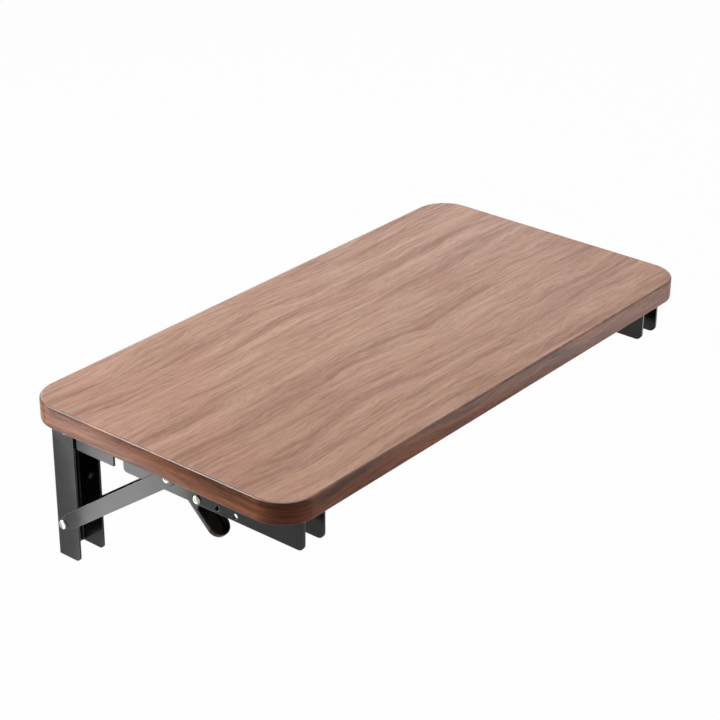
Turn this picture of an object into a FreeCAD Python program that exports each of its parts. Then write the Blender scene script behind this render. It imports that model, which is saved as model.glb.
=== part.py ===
import FreeCAD, Part
import math
import os

# A tabletop that folds down against a wall on two steel folding brackets.
# X runs along the wall, Y points at the wall, which is the plane Y = 0, and Z is up.
# The origin is the middle of the rectangle of wall screw holes, on the wall.
# Every length is in millimetres.

# Driving sizes of the tabletop
board_length = 600.0
board_depth = 306.0
board_thickness = 21.5
board_corner_radius = 34.0
board_edge_round = 2.0
sheet_thickness = 0.9
band_thickness = 2.3

# Driving sizes of the pressed steel brackets
bracket_inset = 44.5
leg_width = 31.6
leg_depth = 28.5
leg_length = 152.2
steel_plate = 2.0
brace_plate = 2.0
bend_outer_radius = 3.0
arm_height = 34.9
arm_front_inset = 9.4
side_gap = 0.3
seat_gap = 0.3
pin_clearance = 0.05

# Places of the pivots, seen from the side, with the tabletop level
hinge_from_wall = 18.8
hinge_below_board = 18.4
foot_from_wall = 11.5
foot_below_hinge = 99.2
head_reach = 128.2
fold_range_degrees = 85.0
head_below_hinge = 0.3

# Main hinge pin, one through each bracket
hinge_pin_radius = 3.0
hinge_head_radius = 4.5
hinge_head_height = 1.6

# Brace plates and their rivets
brace_width = 15.3
brace_foot_round = 5.2
brace_foot_shoulder = 11.5
rivet_radius = 2.6
rivet_head_radius = 4.7
rivet_head_height = 2.0
rivet_dome_round = 1.3
rivet_head_gap = 0.1

# Pin that slides in the slots of the arm
slide_pin_radius = 3.0
slide_pin_flange_radius = 5.2
slot_clearance = 0.15
slot_end_room = 0.4
slot_slope_degrees = 4.2

# Release lever, with its pivot seen from the slide pin at rest
lever_width = 22.0
lever_plate = 1.5
lever_pivot_forward = 30.3
lever_pivot_drop = 11.5
lever_slope_degrees = 43.5
lever_boss_radius = 5.4
lever_tray_depth = 15.8
lever_bend_radius = 2.4
lever_tray_reach = 26.2
lever_tray_back = 9.0
lever_rim_height_back = 5.7
lever_rim_height_front = 7.2
lever_finger_back = 27.0
lever_finger_under_pin = 0.6
lever_finger_height = 5.0
lever_bridge_length = 5.0
lever_pin_radius = 2.5
lever_pin_head_radius = 4.4
lever_pin_head_height = 1.6

# Torsion spring on the lever pin
spring_wire_radius = 0.6
spring_coil_radius = 3.7
spring_pitch = 1.9
spring_turns = 5
spring_leg_length = 8.0

# Notch, holes and rounded corners of the arm
notch_from_wall = 77.2
notch_length = 12.3
notch_height = 10.0
notch_corner_round = 3.5
arm_front_round = 7.0
arm_web_back_gap = 6.0
arm_hole_radius = 2.6
arm_hole_drop = 29.8
arm_hole_first_from_wall = 200.0
arm_hole_step = 21.1

# Rounded corners and wall screw holes of the leg
leg_top_round = 9.5
leg_bottom_round = 5.0
leg_top_gap = 0.4
wall_hole_radius = 2.75
wall_hole_count = 3
wall_hole_step = 46.0
wall_hole_first_below_board = 44.5

# Screws that hold the tabletop on the arms
screw_radius = 1.9
screw_length = 17.0
screw_point_length = 3.0
screw_head_radius = 4.0
screw_head_height = 2.0
screw_socket_radius = 1.3
screw_socket_depth = 1.1
screw_first_from_wall = 45.0
screw_last_from_arm_front = 42.0
screw_names = ["rear", "middle", "front"]

# How far a cutting tool runs past what it cuts
overrun = 5.0

# How close an edge has to be to a place, and to a direction, to count as found there
place_tolerance = 0.01
direction_tolerance_share = 0.01

# The rounding of a pin or rivet head as a share of its height
dome_limit_share = 0.8

# The width of a screw's point as a share of its shank
point_width_share = 0.25

# Heights and places that follow from the driving sizes
bracket_spacing = board_length - 2 * bracket_inset
wall_hole_span = wall_hole_step * (wall_hole_count - 1)
board_bottom = wall_hole_first_below_board + wall_hole_span / 2
board_top = board_bottom + board_thickness
hinge_y = -hinge_from_wall
hinge_z = board_bottom - hinge_below_board
foot_y = -foot_from_wall
foot_z = hinge_z - foot_below_hinge
head_y = hinge_y - head_reach
head_z = hinge_z - head_below_hinge
lever_y = head_y - lever_pivot_forward
lever_z = head_z - lever_pivot_drop
arm_front = arm_front_inset - board_depth
arm_bottom = board_bottom - arm_height
arm_drop_below_hinge = hinge_z - arm_bottom
screw_last_from_wall = -arm_front - screw_last_from_arm_front
screw_step = (screw_last_from_wall - screw_first_from_wall) / (len(screw_names) - 1)
leg_top = board_bottom - leg_top_gap
leg_bottom = leg_top - leg_length

# Half widths of the nested layers, counted from the middle of a bracket
leg_half = leg_width / 2
leg_inner_half = leg_half - steel_plate
arm_half = leg_inner_half - side_gap
arm_inner_half = arm_half - steel_plate
brace_inner_half = leg_half + side_gap
brace_half = brace_inner_half + brace_plate
lever_half = lever_width / 2
lever_inner_half = lever_half - lever_plate

# The brace from its foot to its head, and the foot and head seen from the folded arm
brace_length = math.hypot(head_y - foot_y, head_z - foot_z)
fold_angle = math.radians(fold_range_degrees)
foot_side = foot_y - hinge_y
folded_foot_y = foot_side * math.cos(fold_angle) - foot_below_hinge * math.sin(fold_angle)
folded_foot_z = -foot_side * math.sin(fold_angle) - foot_below_hinge * math.cos(fold_angle)

# How far the slide pin has to run up the sloping slot for the brace to reach it in the folded arm
slot_angle = math.radians(slot_slope_degrees)
start_y = -head_reach - folded_foot_y
start_z = -head_below_hinge - folded_foot_z
along_slot = start_z * math.sin(slot_angle) - start_y * math.cos(slot_angle)
beyond_start = brace_length ** 2 - start_y ** 2 - start_z ** 2
slide_travel = math.sqrt(along_slot ** 2 + beyond_start) - along_slot


def box(x_low, x_high, y_low, y_high, z_low, z_high):
    """A box between two limits on each axis."""
    corner = FreeCAD.Vector(x_low, y_low, z_low)
    return Part.makeBox(x_high - x_low, y_high - y_low, z_high - z_low, corner)


def rod(radius, x_low, x_high, y, z):
    """A round bar along X."""
    start = FreeCAD.Vector(x_low, y, z)
    return Part.makeCylinder(radius, x_high - x_low, start, FreeCAD.Vector(1, 0, 0))


def side_plate(points, x_low, x_high):
    """A flat plate whose outline is a closed row of (y, z) points, from x_low to x_high."""
    corners = [FreeCAD.Vector(x_low, y, z) for y, z in points]
    corners.append(corners[0])
    face = Part.Face(Part.makePolygon(corners))
    return face.extrude(FreeCAD.Vector(x_high - x_low, 0, 0))


def edges_along(shape, direction, places):
    """The straight edges along an axis that pass through any of the named places."""
    found = []
    for edge in shape.Edges:
        if not isinstance(edge.Curve, Part.Line):
            continue
        if abs(edge.tangentAt(edge.FirstParameter).dot(direction)) < 1 - direction_tolerance_share:
            continue
        middle = edge.CenterOfMass
        for place in places:
            away = FreeCAD.Vector(middle).sub(place)
            away = away.sub(direction * away.dot(direction))
            if away.Length < place_tolerance:
                found.append(edge)
                break
    return found


def round_along_x(shape, y, z, radius):
    """Rounds every corner edge that runs along X through one place."""
    place = FreeCAD.Vector(0, y, z)
    return shape.makeFillet(radius, edges_along(shape, FreeCAD.Vector(1, 0, 0), [place]))


def rounded_rectangle(length, depth, radius, z_low, thickness, inset):
    """The tabletop outline as a plate, drawn in from the outer edge by an inset."""
    half = length / 2 - inset
    plate = box(-half, half, inset - depth, -inset, z_low, z_low + thickness)
    upright = [edge for edge in plate.Edges if abs(edge.tangentAt(edge.FirstParameter).z) > 0.5]
    return plate.makeFillet(radius - inset, upright)


def board_solid(inset, z_low, z_high):
    """One layer of the tabletop between two heights."""
    return rounded_rectangle(board_length, board_depth, board_corner_radius, z_low,
                             z_high - z_low, inset)


def screw_places():
    """Distance of each tabletop screw from the wall."""
    return [screw_first_from_wall + index * screw_step for index in range(len(screw_names))]


def screw_bores():
    """Pilot holes for the tabletop screws of both brackets."""
    bores = []
    for side_x in (-bracket_spacing / 2, bracket_spacing / 2):
        for from_wall in screw_places():
            start = FreeCAD.Vector(side_x, -from_wall, board_bottom - steel_plate - overrun)
            depth = overrun + screw_length + screw_point_length + seat_gap
            bores.append(Part.makeCylinder(screw_radius + pin_clearance, depth, start))
    return bores


def make_tabletop():
    """The core, its edge band and the two wood faced sheets."""
    core_low = board_bottom + sheet_thickness
    core_high = board_top - sheet_thickness
    core = board_solid(band_thickness, core_low, core_high)
    bottom = board_solid(band_thickness, board_bottom, core_low)
    top = board_solid(band_thickness, core_high, board_top)
    whole = board_solid(0, board_bottom, board_top)
    rims = []
    for edge in whole.Edges:
        if abs(edge.tangentAt(edge.FirstParameter).z) < 0.5:
            rims.append(edge)
    whole = whole.makeFillet(board_edge_round, rims)
    band = whole.cut(board_solid(band_thickness, board_bottom - overrun, board_top + overrun))
    bores = screw_bores()
    return {
        "tabletop_core": core.cut(bores),
        "tabletop_top_sheet": top,
        "tabletop_bottom_sheet": bottom.cut(bores),
        "tabletop_edge_band": band,
    }


def channel_along_z(half, depth, low, high, plate):
    """An upright channel with its web on the wall and two flanges forward."""
    outer = box(-half, half, -depth, 0, low, high)
    corners = [FreeCAD.Vector(side * half, 0, 0) for side in (-1, 1)]
    outer = outer.makeFillet(bend_outer_radius, edges_along(outer, FreeCAD.Vector(0, 0, 1), corners))
    inner_half = half - plate
    inner = box(-inner_half, inner_half, -depth - overrun, -plate, low - overrun, high + overrun)
    corners = [FreeCAD.Vector(side * inner_half, -plate, 0) for side in (-1, 1)]
    inner_radius = bend_outer_radius - plate
    inner = inner.makeFillet(inner_radius, edges_along(inner, FreeCAD.Vector(0, 0, 1), corners))
    return outer.cut(inner)


def make_wall_leg():
    """The channel that is screwed to the wall."""
    leg = channel_along_z(leg_half, leg_depth, leg_bottom, leg_top, steel_plate)
    leg = round_along_x(leg, -leg_depth, leg_top, leg_top_round)
    leg = round_along_x(leg, -leg_depth, leg_bottom, leg_bottom_round)
    cuts = [rod(hinge_pin_radius + pin_clearance, -leg_half - overrun, leg_half + overrun,
                hinge_y, hinge_z)]
    cuts.append(rod(rivet_radius + pin_clearance, -leg_half - overrun, leg_half + overrun,
                    foot_y, foot_z))
    for index in range(wall_hole_count):
        height = index * wall_hole_step - wall_hole_span / 2
        start = FreeCAD.Vector(0, -steel_plate - overrun, height)
        depth = steel_plate + overrun + overrun
        cuts.append(Part.makeCylinder(wall_hole_radius, depth, start, FreeCAD.Vector(0, 1, 0)))
    return leg.cut(cuts)


def arm_blank():
    """The arm as a channel with its web under the tabletop and two flanges down."""
    outer = box(-arm_half, arm_half, arm_front, hinge_y + arm_drop_below_hinge,
                arm_bottom, board_bottom)
    corners = [FreeCAD.Vector(side * arm_half, 0, board_bottom) for side in (-1, 1)]
    outer = outer.makeFillet(bend_outer_radius, edges_along(outer, FreeCAD.Vector(0, 1, 0), corners))
    web_bottom = board_bottom - steel_plate
    inner = box(-arm_inner_half, arm_inner_half, arm_front - overrun, overrun,
                arm_bottom - overrun, web_bottom)
    corners = [FreeCAD.Vector(side * arm_inner_half, 0, web_bottom) for side in (-1, 1)]
    inner_radius = bend_outer_radius - steel_plate
    inner = inner.makeFillet(inner_radius, edges_along(inner, FreeCAD.Vector(0, 1, 0), corners))
    return outer.cut(inner)


def slot_cut():
    """The straight slot that the slide pin runs in, through both flanges, rising to the front."""
    radius = slide_pin_radius + slot_clearance
    y_back = head_y + slot_end_room
    y_front = head_y - slide_travel - slot_end_room
    body = box(-arm_half - overrun, arm_half + overrun, y_front, y_back,
               head_z - radius, head_z + radius)
    ends = [rod(radius, -arm_half - overrun, arm_half + overrun, y, head_z)
            for y in (y_front, y_back)]
    slot = body.fuse(ends)
    slot.rotate(FreeCAD.Vector(0, head_y, head_z), FreeCAD.Vector(-1, 0, 0), slot_slope_degrees)
    return slot


def make_arm():
    """The swinging arm under the tabletop, with its slot, notch and two holes in one flange."""
    arm = arm_blank()
    rear = hinge_y + arm_drop_below_hinge
    web_cut = box(-leg_inner_half, leg_inner_half, -arm_web_back_gap, rear + overrun,
                  board_bottom - bend_outer_radius, board_bottom + overrun)
    arm = arm.cut(web_cut)
    arm = round_along_x(arm, arm_front, arm_bottom, arm_front_round)
    arm = round_along_x(arm, rear, arm_bottom, arm_drop_below_hinge - pin_clearance)
    notch_front = -notch_from_wall - notch_length
    notch = box(-arm_half - overrun, arm_half + overrun, notch_front, -notch_from_wall,
                arm_bottom - overrun, arm_bottom + notch_height)
    arm = arm.cut(notch)
    arm = round_along_x(arm, notch_front, arm_bottom, notch_corner_round)
    cuts = [slot_cut()]
    cuts.append(rod(hinge_pin_radius + pin_clearance, -leg_half, leg_half, hinge_y, hinge_z))
    cuts.append(rod(lever_pin_radius + pin_clearance, -leg_half, leg_half, lever_y, lever_z))
    for index in range(2):
        from_wall = arm_hole_first_from_wall + index * arm_hole_step
        cuts.append(rod(arm_hole_radius, -leg_half, 0, -from_wall, board_bottom - arm_hole_drop))
    for from_wall in screw_places():
        start = FreeCAD.Vector(0, -from_wall, board_bottom - steel_plate - overrun)
        cuts.append(Part.makeCylinder(screw_radius + pin_clearance, steel_plate + overrun + overrun,
                                      start))
    return arm.cut(cuts)


def brace_outline():
    """Corner points of the straight part of a brace plate, along its own axis from the foot."""
    half = brace_width / 2
    return [(0, -brace_foot_round), (brace_foot_shoulder, -half), (brace_length, -half),
            (brace_length, half), (brace_foot_shoulder, half), (0, brace_foot_round)]


def make_brace_plate(x_low, x_high):
    """One of the two flat brace plates, with a hole at each end."""
    across = (brace_foot_round, brace_width / 2)
    plate = side_plate(brace_outline(), x_low, x_high)
    foot = rod(across[0], x_low, x_high, 0, 0)
    head = rod(across[1], x_low, x_high, brace_length, 0)
    plate = plate.fuse([foot, head]).removeSplitter()
    holes = [rod(rivet_radius + pin_clearance, x_low - overrun, x_high + overrun, y, 0)
             for y in (0, brace_length)]
    plate = plate.cut(holes)
    slope = math.degrees(math.atan2(head_z - foot_z, head_y - foot_y))
    plate.rotate(FreeCAD.Vector(0, 0, 0), FreeCAD.Vector(1, 0, 0), slope)
    plate.translate(FreeCAD.Vector(0, foot_y, foot_z))
    return plate


def domed_head(radius, height, side, x_seat, y, z):
    """A rivet head that stands outward from its seat, with its outer edge rounded."""
    x_ends = sorted((x_seat, x_seat + side * height))
    head = rod(radius, x_ends[0], x_ends[1], y, z)
    outer = x_seat + side * height
    rim = [edge for edge in head.Edges
           if isinstance(edge.Curve, Part.Circle) and abs(edge.Curve.Center.x - outer) < height / 2]
    return head.makeFillet(min(rivet_dome_round, height * dome_limit_share), rim)


def make_side_rivet(side, x_from, x_to, y, z):
    """A short rivet through one side of the bracket, with its domed head outside."""
    x_ends = sorted((side * x_from, side * (x_to + rivet_head_gap)))
    shank = rod(rivet_radius, x_ends[0], x_ends[1], y, z)
    head = domed_head(rivet_head_radius, rivet_head_height, side,
                      side * (x_to + rivet_head_gap), y, z)
    return shank.fuse(head).removeSplitter()


def make_through_pin(radius, half, head_radius, head_height, y, z):
    """A pin through the whole bracket with a domed head on each side."""
    reach = half + rivet_head_gap
    pin = rod(radius, -reach, reach, y, z)
    heads = [domed_head(head_radius, head_height, side, side * reach, y, z) for side in (-1, 1)]
    return pin.fuse(heads).removeSplitter()


def make_slide_pin():
    """The pin that runs in the slots, with a round flange outside each flange of the arm."""
    flange_low = arm_half + side_gap
    flange_high = brace_inner_half - side_gap
    pin = rod(slide_pin_radius, -flange_high, flange_high, head_y, head_z)
    flanges = [rod(slide_pin_flange_radius, low, high, head_y, head_z)
               for low, high in ((-flange_high, -flange_low), (flange_low, flange_high))]
    return pin.fuse(flanges).removeSplitter()


def lever_point(along, above):
    """A place on the lever, given along its slope and square to it, as (y, z)."""
    angle = math.radians(lever_slope_degrees)
    y = lever_y - along * math.cos(angle) - above * math.sin(angle)
    z = lever_z - along * math.sin(angle) + above * math.cos(angle)
    return y, z


def lever_wall(x_low, x_high):
    """One side wall of the lever, from the latch finger to the end of the tray."""
    tray_low = -lever_tray_depth
    finger_top = head_z - slide_pin_radius - lever_finger_under_pin
    finger_low = finger_top - lever_finger_height
    finger_end = lever_y + lever_finger_back
    boss = lever_boss_radius
    seam = tray_low + lever_bend_radius
    points = [
        (lever_y, lever_z + boss),
        (lever_y + lever_pivot_drop - boss, finger_top),
        (finger_end, finger_top),
        (finger_end, finger_low),
        lever_point(-lever_tray_back, seam),
        lever_point(0, seam),
        lever_point(0, tray_low + lever_rim_height_back),
        lever_point(boss, tray_low + lever_rim_height_back),
        (lever_y - boss, lever_z),
    ]
    wall = side_plate(points, x_low, x_high)
    return wall.fuse(rod(boss, x_low, x_high, lever_y, lever_z)).removeSplitter()


def tray_block(half, low, high, back):
    """A block with a round front end, level, with the lever pivot at its origin."""
    body = box(-half, half, -lever_tray_reach, back, low, high)
    nose = Part.makeCylinder(half, high - low, FreeCAD.Vector(0, -lever_tray_reach, low))
    return body.fuse(nose).removeSplitter()


def round_under(shape, low, back, radius):
    """Rounds the lower rim of a tray block, but not its rear edge."""
    rim = []
    for edge in shape.Edges:
        box_of_edge = edge.BoundBox
        flat_below = box_of_edge.ZMax < low + place_tolerance
        at_back = box_of_edge.YMin > back - place_tolerance
        if flat_below and not at_back:
            rim.append(edge)
    return shape.makeFillet(radius, rim)


def make_tray():
    """The pressed tongue: a dish with a round front end, open to the rear, in the lever's slope."""
    low = -lever_tray_depth
    floor = low + lever_plate
    back = lever_tray_back / 2
    top = low + lever_rim_height_back
    outer = round_under(tray_block(lever_half, low, top, back), low, back, lever_bend_radius)
    inner_back = back + overrun
    inner = tray_block(lever_inner_half, floor, top + overrun, inner_back)
    inner = round_under(inner, floor, inner_back, lever_bend_radius - lever_plate)
    end = -lever_tray_reach - lever_half - overrun
    front_top = low + lever_rim_height_front
    above_rim = side_plate([(0, top), (-lever_tray_reach, front_top), (end, front_top),
                            (end, top + overrun), (0, top + overrun)], -lever_width, lever_width)
    tray = outer.cut([inner, above_rim])
    tray.rotate(FreeCAD.Vector(0, 0, 0), FreeCAD.Vector(1, 0, 0), lever_slope_degrees)
    tray.translate(FreeCAD.Vector(0, lever_y, lever_z))
    return tray


def make_release_lever():
    """The pressed lever: two walls, a dished tongue with a rim, and a latch bridge."""
    finger_top = head_z - slide_pin_radius - lever_finger_under_pin
    finger_low = finger_top - lever_finger_height
    finger_end = lever_y + lever_finger_back
    bridge = box(-lever_half, lever_half, finger_end - lever_bridge_length, finger_end,
                 finger_low, finger_low + lever_plate)
    walls = [lever_wall(-lever_half, -lever_inner_half), lever_wall(lever_inner_half, lever_half)]
    lever = walls[0].fuse([walls[1], make_tray(), bridge]).removeSplitter()
    bore = rod(lever_pin_radius + pin_clearance, -lever_width, lever_width, lever_y, lever_z)
    return lever.cut(bore)


def make_lever_spring():
    """A torsion spring: a coil round the lever pin with one straight leg on the tray floor."""
    length = spring_pitch * spring_turns
    helix = Part.makeHelix(spring_pitch, length, spring_coil_radius)
    start = FreeCAD.Vector(spring_coil_radius, -spring_leg_length, 0)
    turn = FreeCAD.Vector(spring_coil_radius, 0, 0)
    leg = Part.makeLine(start, turn)
    path = Part.Wire([leg] + helix.Edges)
    ring = Part.Wire([Part.makeCircle(spring_wire_radius, start, FreeCAD.Vector(0, 1, 0))])
    spring = path.makePipeShell([ring], True, False)
    spring.rotate(FreeCAD.Vector(0, 0, 0), FreeCAD.Vector(0, 1, 0), 90)
    spring.translate(FreeCAD.Vector(-length / 2, lever_y, lever_z))
    return spring


def make_screw(from_wall):
    """A pan head wood screw that holds the tabletop on the web of the arm."""
    web_bottom = board_bottom - steel_plate
    y = -from_wall
    start = FreeCAD.Vector(0, y, web_bottom)
    shank = Part.makeCylinder(screw_radius, screw_length - screw_point_length, start)
    tip_base = FreeCAD.Vector(0, y, web_bottom + screw_length - screw_point_length)
    tip = Part.makeCone(screw_radius, screw_radius * point_width_share, screw_point_length, tip_base)
    head_base = FreeCAD.Vector(0, y, web_bottom - screw_head_height)
    head = Part.makeCylinder(screw_head_radius, screw_head_height, head_base)
    rim = [edge for edge in head.Edges if isinstance(edge.Curve, Part.Circle)
           and abs(edge.Curve.Center.z - head_base.z) < screw_head_height / 2]
    head = head.makeFillet(screw_head_height / 2, rim)
    socket_base = FreeCAD.Vector(0, y, head_base.z - overrun)
    socket = Part.makeCylinder(screw_socket_radius, overrun + screw_socket_depth, socket_base)
    return shank.fuse([tip, head]).removeSplitter().cut(socket)


def make_bracket():
    """Every piece of one bracket, centred on X = 0."""
    pieces = {
        "wall_leg": make_wall_leg(),
        "arm": make_arm(),
        "hinge_pin": make_through_pin(hinge_pin_radius, leg_half, hinge_head_radius,
                                      hinge_head_height, hinge_y, hinge_z),
        "slide_pin": make_slide_pin(),
        "release_lever": make_release_lever(),
        "lever_pin": make_through_pin(lever_pin_radius, arm_half, lever_pin_head_radius,
                                      lever_pin_head_height, lever_y, lever_z),
        "lever_spring": make_lever_spring(),
    }
    for name, side in (("outer", -1), ("inner", 1)):
        x_ends = sorted((side * brace_inner_half, side * brace_half))
        pieces["brace_" + name + "_plate"] = make_brace_plate(x_ends[0], x_ends[1])
        pieces["foot_rivet_" + name] = make_side_rivet(side, leg_inner_half, brace_half,
                                                       foot_y, foot_z)
        pieces["head_rivet_" + name] = make_side_rivet(side, brace_inner_half, brace_half,
                                                       head_y, head_z)
    for name, from_wall in zip(screw_names, screw_places()):
        pieces["board_screw_" + name] = make_screw(from_wall)
    return pieces


def write_part(name, shape):
    """Writes one piece as its own file and says whether it is a sound solid."""
    shape.exportStep("parts/" + name + ".step")
    print(name, "solids", len(shape.Solids), "valid", shape.isValid(), "volume", round(shape.Volume, 1))


def main():
    """Builds the tabletop and both brackets and writes each piece."""
    os.makedirs("parts", exist_ok=True)
    for name, shape in make_tabletop().items():
        write_part(name, shape)
    for side_name, side_x in (("left", -bracket_spacing / 2), ("right", bracket_spacing / 2)):
        for name, shape in make_bracket().items():
            placed = shape.copy()
            placed.translate(FreeCAD.Vector(side_x, 0, 0))
            write_part(side_name + "_" + name, placed)
    print("hinge", hinge_y, hinge_z, "foot", foot_y, foot_z, "head", head_y, head_z)
    print("lever", lever_y, lever_z, "board top", board_top, "slide travel", slide_travel)
    rest = math.atan2(foot_z - head_z, foot_y - head_y)
    end_y = start_y - slide_travel * math.cos(slot_angle)
    end_z = start_z + slide_travel * math.sin(slot_angle)
    folded = math.atan2(-end_z, -end_y) + fold_angle
    print("brace turn in degrees", math.degrees(folded - rest))


main()
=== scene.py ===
"""A wall-mounted folding table: a walnut faced top on two folding steel brackets.

Lengths are in metres, X along the wall, Y into the wall and Z up, as in the solid model.
"""
import logging
import math
from dataclasses import dataclass
from enum import Enum
from typing import Callable, Iterable

import bpy
from mathutils import Matrix, Vector


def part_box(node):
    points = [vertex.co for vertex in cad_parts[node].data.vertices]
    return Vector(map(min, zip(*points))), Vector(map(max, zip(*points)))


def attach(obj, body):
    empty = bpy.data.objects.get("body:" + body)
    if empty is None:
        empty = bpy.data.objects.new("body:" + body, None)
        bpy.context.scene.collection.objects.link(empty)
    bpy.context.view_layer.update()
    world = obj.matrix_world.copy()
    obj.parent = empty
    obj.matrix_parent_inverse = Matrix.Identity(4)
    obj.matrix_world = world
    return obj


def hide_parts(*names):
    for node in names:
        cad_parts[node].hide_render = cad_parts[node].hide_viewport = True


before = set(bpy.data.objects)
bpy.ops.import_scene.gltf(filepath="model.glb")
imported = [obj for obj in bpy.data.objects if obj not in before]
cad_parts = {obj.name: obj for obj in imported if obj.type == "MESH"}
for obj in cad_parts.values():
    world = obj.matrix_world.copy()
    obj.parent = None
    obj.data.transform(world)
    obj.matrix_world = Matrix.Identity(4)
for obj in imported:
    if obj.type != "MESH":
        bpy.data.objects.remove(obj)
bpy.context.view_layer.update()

log = logging.getLogger("folding_table")

Place = tuple[float, float, float]
Reach = tuple[float, float]

MM = 0.001
MERGE_DISTANCE = 0.002 * MM
PLACE_TOLERANCE = 0.02 * MM
NORMAL_SHARE = 0.9
SMOOTH_DEGREES = 35.0
NOISE_LOW = 0.3
NOISE_HIGH = 0.7


class Side(Enum):
    """The two brackets, as seen from the room."""

    LEFT = "left"
    RIGHT = "right"


class GrainSource(Enum):
    """What a wood pattern follows: the board's own axes, or the map round its edge."""

    BOARD_AXES = "board_axes"
    EDGE_MAP = "edge_map"


def linear_colour(hex_code: str) -> tuple[float, float, float, float]:
    """Turns an sRGB hex colour to linear light.

    Args:
        hex_code: six hex digits after a hash sign.

    Returns:
        Red, green, blue and an alpha of one.
    """
    channels = []
    for start in (1, 3, 5):
        value = int(hex_code[start:start + 2], 16) / 255
        channels.append(value / 12.92 if value <= 0.04045 else ((value + 0.055) / 1.055) ** 2.4)
    return (channels[0], channels[1], channels[2], 1.0)


def add_node(tree: bpy.types.NodeTree, kind: str, settings: dict | None = None,
             values: dict | None = None, links: dict | None = None,
             stops: list[tuple[float, str]] | None = None) -> bpy.types.Node:
    """Adds one shader node with its settings, values, links and colour stops.

    Args:
        tree: the node tree that takes the node.
        kind: the node's type name.
        settings: properties of the node itself.
        values: input values by name or number.
        links: sockets to join to inputs, by name or number.
        stops: places and hex colours of a colour ramp.

    Returns:
        The new node.
    """
    node = tree.nodes.new(kind)
    for key, value in (settings or {}).items():
        setattr(node, key, value)
    for key, value in (values or {}).items():
        node.inputs[key].default_value = value
    for key, socket in (links or {}).items():
        tree.links.new(socket, node.inputs[key])
    if stops:
        elements = node.color_ramp.elements
        while len(elements) < len(stops):
            elements.new(0.5)
        for element, (place, hex_code) in zip(elements, stops):
            element.position = place
            element.color = linear_colour(hex_code)
    return node


def new_material(name: str) -> tuple[bpy.types.Material, bpy.types.NodeTree, bpy.types.Node]:
    """Makes an empty material with an output.

    Args:
        name: the material's name.

    Returns:
        The material, its node tree and its output node.
    """
    material = bpy.data.materials.new(name)
    material.use_nodes = True
    tree = material.node_tree
    tree.nodes.clear()
    output = add_node(tree, "ShaderNodeOutputMaterial")
    return material, tree, output


def dress(piece: bpy.types.Object, material: bpy.types.Material) -> None:
    """Gives a whole piece one material."""
    piece.data.materials.clear()
    piece.data.materials.append(material)


@dataclass(frozen=True)
class GrainLayer:
    """One scale of wood figure: how long and how wide its streaks are, in millimetres."""

    length_mm: float
    width_mm: float
    detail: float
    roughness: float
    seed: float

    def add(self, tree: bpy.types.NodeTree, place: bpy.types.NodeSocket) -> bpy.types.NodeSocket:
        """Adds the streaks as noise stretched along the grain.

        Args:
            tree: the material's node tree.
            place: where along and across the grain, in metres.

        Returns:
            The noise's value, around one half.
        """
        scale = (1 / (self.length_mm * MM), 1 / (self.width_mm * MM), 1 / (self.width_mm * MM))
        mapping = add_node(tree, "ShaderNodeMapping",
                           values={"Scale": scale, "Location": (self.seed, self.seed, 0)},
                           links={"Vector": place})
        noise = add_node(tree, "ShaderNodeTexNoise",
                         values={"Scale": 1.0, "Detail": self.detail, "Roughness": self.roughness},
                         links={"Vector": mapping.outputs["Vector"]})
        return noise.outputs["Fac"]


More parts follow.
